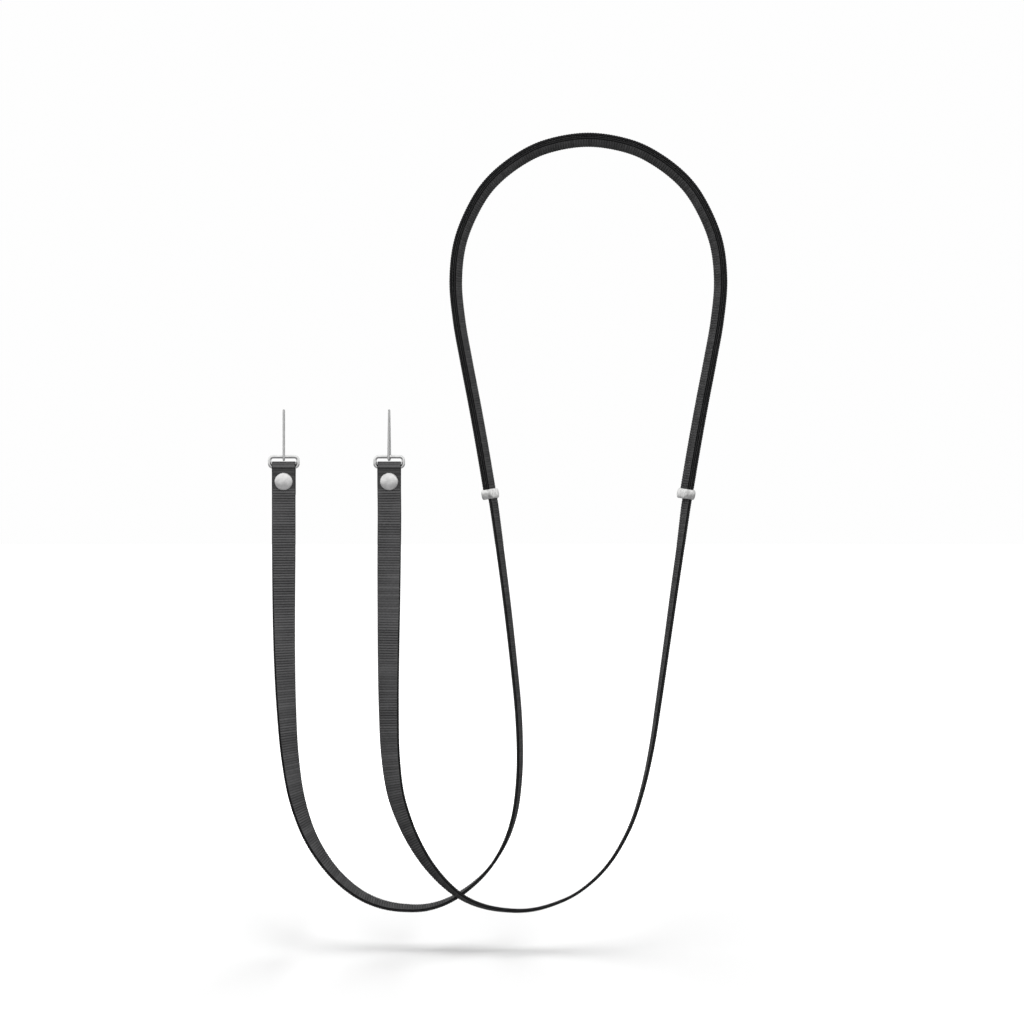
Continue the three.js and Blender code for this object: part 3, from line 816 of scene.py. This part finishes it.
def webbing_finish():
    surface = Surface("black_ribbed_webbing", {"Specular IOR Level": YARN_GLOSS})
    run = surface.stored("run")
    across = surface.stored("across")
    pressed = surface.stored("pressed")
    count = (run / RIB_PITCH).floor()
    yarn = (across / YARN_PITCH + (count % 2) * 0.5).wave()
    patch = surface.noise(PATCH_SCALE)
    weave = surface.noise(WEAVE_SCALE)
    fibre = surface.noise(FIBRE_SCALE)
    # Painted shade: the grooves between the ribs are darkened in the colour, less where the band is pressed
    # flat, and more in some stretches than in others.
    groove = (1 - surface.stored("rib")) * (1 - PRESSED_SHALLOW * pressed)
    groove = groove * varied(GROOVE_SHARES, patch.step(*PATCH_EDGES))
    bulge = stretch(run, BULGE_RISE, BULGE_FALL)
    crease = stretch(run, CREASE_RISE, CREASE_FALL)
    # Painted light: shade where the band is pressed round the ring, a highlight on the bulge over the bar
    # and a shadow in the crease below it.
    painted_light = (1 - PRESSED_PAINTED_SHADE * pressed) * (1 + BULGE_PAINTED_HIGHLIGHT * bulge) * (1 - CREASE_PAINTED_SHADOW * crease)
    # Random colour for each rib and each stretch, times painted shade between the warp yarns.
    rib_variety_and_yarn_shade = varied(RIB_SHARES, surface.chance(count), patch) * varied(YARN_SHARES, yarn, fibre)
    shade = (1 - groove) * rib_variety_and_yarn_shade * varied(WEAVE_SHARES, weave) * painted_light
    colour = surface.blend(shade, GROOVE_PAINTED_SHADE, RIB_TOP)
    # Painted shade: the band's sides are painted near black, apart from a less dark line along their middle.
    side = abs(across).step(*(WEBBING_WIDTH / 2 - inset for inset in EDGE_INSETS))
    middle = 1 - abs(surface.stored("height")).step(*EDGE_MIDDLE_END)
    edge = surface.blend(middle * varied(EDGE_SHARES, weave), EDGE_PAINTED_SHADE, EDGE_MIDDLE)
    surface.feed("Base Color", surface.blend(side, colour, edge))
    surface.feed("Roughness", YARN_ROUGHNESS - SEALED_SHINE * surface.stored("fused") - YARN_SHINE * yarn)
    surface.bump(yarn + FIBRE_SHARE * fibre, YARN_RELIEF)
    return surface.material


# %% [markdown]
# ## Bands with their rivet holes
# The rivet's post goes through both layers of the fold, so each band gets a real hole there. A Boolean
# with the Manifold solver cuts it in a moment, because both meshes are closed.

# %% Solids from rings of points
def circle_ways(sides):
    """Evenly spread directions round a circle."""
    angles = np.linspace(0, 2 * math.pi, sides, endpoint=False)
    return np.column_stack([np.cos(angles), np.sin(angles)])


def closed_mesh(name, sections, wrap):
    """Faces between rings of points. Without wrap, the first and the last ring are closed by a face."""
    sections = np.asarray(sections, float)
    rows, sides = sections.shape[:2]
    faces = []
    for row in range(rows if wrap else rows - 1):
        here = row * sides
        after = (row + 1) % rows * sides
        for corner in range(sides):
            beside = (corner + 1) % sides
            faces.append((here + corner, here + beside, after + beside, after + corner))
    if not wrap:
        faces.append(tuple(range(sides))[::-1])
        faces.append(tuple(range((rows - 1) * sides, rows * sides)))
    mesh = bpy.data.meshes.new(name)
    mesh.from_pydata([tuple(point) for point in sections.reshape(-1, 3)], [], faces)
    return mesh


# %% Rivet holes
RIVET_POST = 0.0030
HOLE_SIDES = 48


def drill(band, side):
    radius = RIVET_POST / 2 + CLEARANCE
    reach = 2 * fold_radius
    centre = BARS[side] + np.array([0, 0, -RIVET_DROP])
    rings = [
        [centre + np.array([radius * x, depth, radius * z]) for x, z in circle_ways(HOLE_SIDES)]
        for depth in (reach, -reach)]
    cutter = show("drill", closed_mesh("drill", rings, False))
    hole = band.modifiers.new("rivet_hole", "BOOLEAN")
    hole.operation = "DIFFERENCE"
    hole.solver = "MANIFOLD"
    hole.object = cutter
    mesh = plain_mesh(band)
    band.modifiers.remove(hole)
    band.data = mesh
    bpy.data.objects.remove(cutter)


# %% Webbing
def make_webbing():
    tree = webbing_tree()
    sizes = {
        "Width": WEBBING_WIDTH, "Thickness": WEBBING_THICKNESS, "Edge round": EDGE_ROUND,
        "Rib pitch": RIB_PITCH, "Rib height": RIB_HEIGHT, "Edge depth": EDGE_DEPTH,
        "Fused end": FUSED_END, "Pressed end": PRESSED_END, "Finish": webbing_finish(),
    }
    helpers = ("spot", "wide", "through", "to_end")
    for side, route in strap_routes.items():
        line = chain("line", route["point"], wide=route["wide"], through=route["through"])
        band = grow(f"webbing_{side}", line, tree, sizes, helpers)
        drill(band, side)
        print("volume with the hole", round(volume_of(band.data) * 1e9), "cubic mm")
        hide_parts(f"strap_{side}")
        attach(band, "strap")


make_webbing()

# %% [markdown]
# ## Steel
# Rings, rivets and sliders are bright steel. Steel looks like what it mirrors, so its colour is nearly
# plain and its roughness does the work: low on the polished rings, higher on the satin caps. Fine noise in
# the roughness and a very small bump keep it from looking like plastic. The sliders are blotched by
# handling, so a broad noise takes the colour between a light and a dark shade.

# %% Steel finish
BLOTCH_SCALE = 420.0
BLOTCH_EDGES = (0.35, 0.65)
GRAIN_SCALE = 6500.0


def steel_finish(name, colour, shade, roughness, grain, dent):
    surface = Surface(name, {"Metallic": 1.0})
    cloud = surface.noise(BLOTCH_SCALE)
    fine = surface.noise(GRAIN_SCALE)
    dark = tuple(part * shade for part in colour)
    mottle = cloud.step(*BLOTCH_EDGES)
    surface.feed("Base Color", surface.blend(mottle, (*dark, 1.0), (*colour, 1.0)))
    surface.feed("Roughness", roughness + grain * (fine - 0.5) + grain * (cloud - 0.5))
    surface.bump(fine + cloud, dent)
    return surface.material


ring_steel = steel_finish(
    "polished_ring_steel", (0.92, 0.92, 0.915), shade=0.86, roughness=0.2, grain=0.06, dent=0.000002)
cap_steel = steel_finish(
    "satin_cap_steel", (0.95, 0.945, 0.94), shade=0.85, roughness=0.46, grain=0.14, dent=0.000012)
slider_steel = steel_finish(
    "satin_slider_steel", (0.9, 0.9, 0.89), shade=0.64, roughness=0.2, grain=0.2, dent=0.00004)

# %% [markdown]
# ## Rings
# A ring is one length of round wire, bent into a low rectangle with round corners and welded shut inside
# the fold. A rectangle with filleted corners, swept by a circle, is that wire.

# %% Ring tree
RING_SIDES = 28
RING_CORNER_STEPS = 8


def ring_tree():
    shaper = Shaper("bent_wire_ring", ("Width", "Height", "Corner", "Wire", "Centre", "Finish"))
    given = shaper.given
    sockets = {"Width": given["Width"], "Height": given["Height"]}
    line = shaper.node("GeometryNodeCurvePrimitiveQuadrilateral", {}, sockets)["Curve"]
    sockets = {"Curve": line, "Count": RING_CORNER_STEPS, "Radius": given["Corner"]}
    line = shaper.node("GeometryNodeFilletCurve", {"mode": "POLY"}, sockets)["Curve"]
    wire = shaper.tube(line, shaper.circle(RING_SIDES, given["Wire"] / 2), False)
    sockets = {"Geometry": wire, "Translation": given["Centre"], "Rotation": (math.pi / 2, 0, 0)}
    wire = shaper.node("GeometryNodeTransform", {}, sockets)["Geometry"]
    return shaper.finish(wire)


# %% Rings
def make_rings():
    tree = ring_tree()
    sizes = {
        "Width": WEBBING_WIDTH + 2 * (CLEARANCE + bar_radius), "Height": upper_bar_rise,
        "Corner": RING_CORNER, "Wire": RING_WIRE, "Finish": ring_steel,
    }
    for side, bar in BARS.items():
        sizes["Centre"] = tuple(bar + np.array([0, 0, upper_bar_rise / 2]))
        ring = grow(f"wire_ring_{side}", bpy.data.meshes.new("empty"), tree, sizes)
        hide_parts(f"ring_{side}")
        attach(ring, f"ring_{side}")


make_rings()

# %% [markdown]
# ## Rivets
# A rivet is turned: a low domed cap in front, a post through both layers, and a flat cap behind. A lathe
# profile from pole to pole gives it in one closed skin. The rim is rounded, because a sharp edge has no
# highlight and looks drawn.

# %% Rivet sizes
RIVET_DIAMETER = 0.0100
RIVET_DOME = 0.0019
RIVET_RIM = 0.0007
RIVET_BACK_DIAMETER = 0.0084
RIVET_BACK = 0.0010
RIVET_SEAT = 0.00003
RIM_ROUND = 0.00035
BACK_FLAT = 0.5
LATHE_SIDES = 72
DOME_ROWS = 14
RIM_ROWS = 5


# %% Rivet profile: radius and depth, from the dome's top to the middle of the back cap
def rivet_profile():
    face = (layer_pitch + WEBBING_THICKNESS) / 2
    under = face + RIVET_SEAT
    rim = face + CLEARANCE + RIVET_RIM
    head = RIVET_DIAMETER / 2
    back = RIVET_BACK_DIAMETER / 2
    outer = face + CLEARANCE + RIVET_BACK
    tilt = np.linspace(0, math.pi / 2, DOME_ROWS)
    quarter = np.linspace(0, math.pi / 2, RIM_ROWS)
    inward = RIM_ROUND * (1 - np.cos(quarter))
    onward = RIM_ROUND * (1 - np.sin(quarter))
    return [
        *zip(head * np.sin(tilt), -rim - RIVET_DOME * np.cos(tilt)),
        *zip(head - inward, -under - onward),
        (RIVET_POST / 2, -under), (RIVET_POST / 2, under),
        *zip(back - onward, under + inward),
        *zip(back - inward, outer - onward),
        (back * BACK_FLAT, outer), (0.0, outer)]


# %% Lathe about the rivet's own axis
def turned_mesh(name, profile, centre):
    rings = [
        [centre + np.array([radius * x, depth, radius * z]) for x, z in circle_ways(LATHE_SIDES)]
        for radius, depth in profile[1:-1]]
    poles = [centre + np.array([0, depth, 0]) for _, depth in (profile[0], profile[-1])]
    faces = []
    last = len(rings) - 1
    for corner in range(LATHE_SIDES):
        beside = (corner + 1) % LATHE_SIDES
        for row in range(last):
            here = row * LATHE_SIDES
            after = here + LATHE_SIDES
            faces.append((here + corner, after + corner, after + beside, here + beside))
        front_pole = len(rings) * LATHE_SIDES
        faces.append((front_pole, corner, beside))
        faces.append((front_pole + 1, last * LATHE_SIDES + beside, last * LATHE_SIDES + corner))
    points = [tuple(point) for ring in rings for point in ring] + [tuple(pole) for pole in poles]
    mesh = bpy.data.meshes.new(name)
    mesh.from_pydata(points, [], faces)
    return mesh


def finished(name, mesh, finish):
    """A smooth piece with its finish on it."""
    mesh.polygons.foreach_set("use_smooth", [True] * len(mesh.polygons))
    mesh.materials.append(finish)
    mesh.update()
    print(name, "holds", round(volume_of(mesh) * 1e9, 1), "cubic mm")
    return show(name, mesh)


# %% Rivets
def make_rivets():
    for side, bar in BARS.items():
        name = f"domed_rivet_{side}"
        centre = bar + np.array([0, 0, -RIVET_DROP])
        rivet = finished(name, turned_mesh(name, rivet_profile(), centre), cap_steel)
        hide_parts(f"rivet_{side}")
        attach(rivet, "strap")


make_rivets()

# %% [markdown]
# ## Sliders
# A slider is a short piece of tube, pressed flat round the two layers, with a wall that bulges in the
# middle and rounded lips at both mouths. Its wall is swept round a rounded rectangle. The rectangle lies
# across the bands, and the directions come from the neck loop's route at the slider.

# %% Slider sizes
SLIDER_WALL = 0.00065
SLIDER_BULGE = 0.0004
SLIDER_CORNER = 0.0006
SLIDER_GRIP = 0.00018
SLIDER_LIP = 0.8
BARREL_POWER = 2.2
BARREL_ROWS = 18
SLIDER_CORNER_STEPS = 10


# %% The wall and the loop that it is swept round
def rounded_loop(half_wide, half_high, corner, steps):
    """Points and outward ways round a rounded rectangle."""
    loop = []
    for quarter, (side_x, side_y) in enumerate(((1, 1), (-1, 1), (-1, -1), (1, -1))):
        for angle in np.linspace(0, math.pi / 2, steps + 1) + quarter * math.pi / 2:
            out = np.array([math.cos(angle), math.sin(angle)])
            middle = np.array([side_x * (half_wide - corner), side_y * (half_high - corner)])
            loop.append((middle + corner * out, out))
    return loop


def barrel_wall():
    """Points of the wall's section: how far out and how far along, as a share of half the length."""
    high = SLIDER_WALL + SLIDER_BULGE
    spread = np.cos(np.linspace(0, math.pi, BARREL_ROWS))
    outside = [(high * (1 - abs(share) ** BARREL_POWER) ** (1 / BARREL_POWER), share) for share in spread]
    return [*outside, (-SLIDER_GRIP, -SLIDER_LIP), (-SLIDER_GRIP, SLIDER_LIP)]


# %% Sliders
def make_sliders():
    for side, chosen in (("left", 1), ("right", -2)):
        centre = neck_points()[chosen]
        nearest = int(np.argmin(np.linalg.norm(neck["point"] - centre, axis=1)))
        wide, through, along = (neck[label][nearest] for label in ("wide", "through", "along"))
        half_stack = (layer_pitch + WEBBING_THICKNESS) / 2 + CLEARANCE
        half_wide = WEBBING_WIDTH / 2 + CLEARANCE
        loop = rounded_loop(half_wide, half_stack, SLIDER_CORNER, SLIDER_CORNER_STEPS)
        sections = [
            [centre + wide * (spot[0] + out[0] * high) + through * (spot[1] + out[1] * high)
             - along * share * SLIDER_LENGTH / 2 for high, share in barrel_wall()]
            for spot, out in loop]
        name = f"slider_sleeve_{side}"
        slider = finished(name, closed_mesh(name, sections, True), slider_steel)
        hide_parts(f"slider_{side}")
        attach(slider, "strap")


make_sliders()

# %% [markdown]

# %% [markdown]
# ## Floor and light
# The strap hangs just above a plain white floor, in white surroundings, with a soft grey shadow below.
# The floor is as white as the surroundings, so that no horizon shows: near the strap by the light of an
# arch of lamps, and further off, where that fades, by a glow of its own. An arch from front to back gives
# a shadow that is soft towards the viewer and still as long as the strap is wide. The arch lights the
# floor alone, because so much light from above would bleach the lower bends of the black webbing. The
# strap has lamps of its own: strong ones in front and behind, a weak one above, and a weak one low in
# front, which reaches the inside of the neck loop. Steel needs something dark to mirror, or it looks like
# chalk, so what it mirrors is white above and grey below the horizon.

# %% Floor
FLOOR_SPOT = Vector((-0.06, 0.0, -0.4535))
FLOOR_RADIUS = 30.0
FLOOR_SIDES = 96
FLOOR_GREY = (0.62, 0.62, 0.62, 1.0)
GLOW_START = 0.25
GLOW_FULL = 1.1


def floor_finish():
    plain = {"Base Color": FLOOR_GREY, "Roughness": 1.0, "Emission Strength": 1.0}
    surface = Surface("white_floor", plain)
    place = surface.node("ShaderNodeTexCoord")["Object"]
    reach = surface.node("ShaderNodeVectorMath", {"operation": "LENGTH"}, {0: place})["Value"]
    black, white = (0.0, 0.0, 0.0, 1.0), (1.0, 1.0, 1.0, 1.0)
    surface.feed("Emission Color", surface.blend(reach.step(GLOW_START, GLOW_FULL), black, white))
    return surface.material


def make_floor():
    rim = [(FLOOR_RADIUS * x, FLOOR_RADIUS * y, 0) for x, y in circle_ways(FLOOR_SIDES)]
    mesh = bpy.data.meshes.new("floor")
    mesh.from_pydata(rim, [], [tuple(range(FLOOR_SIDES))])
    mesh.materials.append(floor_finish())
    floor = show("floor", mesh)
    floor.location = FLOOR_SPOT
    floor.visible_glossy = False
    floor.visible_diffuse = False
    print("floor", 2 * FLOOR_RADIUS, "m across, at height", round(FLOOR_SPOT.z, 4))
    return floor


floor = make_floor()

# %% Lamps: each one's place, size and power
STRAP_MIDDLE = Vector((-0.0428, 0.0, -0.22))
STRAP_LAMPS = {
    "front": ((-0.0428, -2.3, 0.35), (1.4, 0.9), 51.0),
    "above": ((-0.06, -0.3, 1.2), (1.0, 1.0), 5.0),
    "low": ((-0.0428, -1.5, -0.4), (0.6, 0.08), 6.0),
    "back": ((-0.0428, 2.3, 0.35), (1.4, 0.9), 42.0),
}
ARCH_TILTS = (-44, -22, 0, 22, 44)
ARCH_RADIUS = 2.2
ARCH_SIZE = (0.35, 0.85)
ARCH_POWER = 16.3


def group_of(name, members):
    group = bpy.data.collections.new(name)
    for member in members:
        group.objects.link(member)
    return group


def add_lamp(name, place, aim, size, power, lights):
    light = bpy.data.lights.new(name, "AREA")
    light.shape = "RECTANGLE"
    light.size, light.size_y = size
    light.energy = power
    lamp = bpy.data.objects.new(name, light)
    bpy.context.scene.collection.objects.link(lamp)
    lamp.location = place
    lamp.rotation_euler = (aim - place).to_track_quat("-Z", "Y").to_euler()
    lamp.visible_camera = False
    lamp.visible_glossy = False
    lamp.light_linking.receiver_collection = lights
    print("lamp", name, "of", power, "W,", round((aim - place).length, 2), "m away")


def light_scene():
    pieces = [piece for piece in bpy.context.scene.objects if piece.type == "MESH" and piece != floor]
    strap = group_of("lit_strap", pieces)
    ground = group_of("lit_floor", [floor])
    for name, (place, size, power) in STRAP_LAMPS.items():
        add_lamp(name, Vector(place), STRAP_MIDDLE, size, power, strap)
    for number, tilt in enumerate(ARCH_TILTS):
        angle = math.radians(tilt)
        place = FLOOR_SPOT + ARCH_RADIUS * Vector((0, math.sin(angle), math.cos(angle)))
        add_lamp(f"arch_{number}", place, FLOOR_SPOT, ARCH_SIZE, ARCH_POWER, ground)


light_scene()

# %% Surroundings
LIGHT_AROUND = (0.27, 0.27, 0.27, 1.0)
WHITE_AROUND = (0.99, 0.99, 0.99, 1.0)
MIRRORED_STOPS = (
    (0.0, (0.37, 0.37, 0.375)), (0.36, (0.32, 0.32, 0.325)), (0.44, (0.42, 0.42, 0.42)),
    (0.49, (0.68, 0.68, 0.68)), (0.53, (0.82, 0.82, 0.82)), (0.62, (0.95, 0.95, 0.95)),
    (1.0, (1.0, 1.0, 1.0)),
)


def set_surroundings():
    world = bpy.data.worlds.new("studio")
    world.use_nodes = True
    board = Board(world.node_tree)
    way = board.node("ShaderNodeTexCoord")["Generated"]
    up = board.node("ShaderNodeSeparateXYZ", {}, {0: way})["Z"]
    mirrored = board.node("ShaderNodeValToRGB", {"stops": MIRRORED_STOPS}, {0: up * 0.5 + 0.5})["Color"]
    ray = board.node("ShaderNodeLightPath")
    level = board.blend(ray["Is Glossy Ray"], LIGHT_AROUND, mirrored)
    level = board.blend(ray["Is Camera Ray"], level, WHITE_AROUND)
    background = world.node_tree.nodes["Background"]
    world.node_tree.links.new(level.socket, background.inputs["Color"])
    bpy.context.scene.world = world
    bpy.context.scene.view_settings.view_transform = "Standard"
    print("surroundings", world.name, "made of", len(world.node_tree.nodes), "nodes")


set_surroundings()
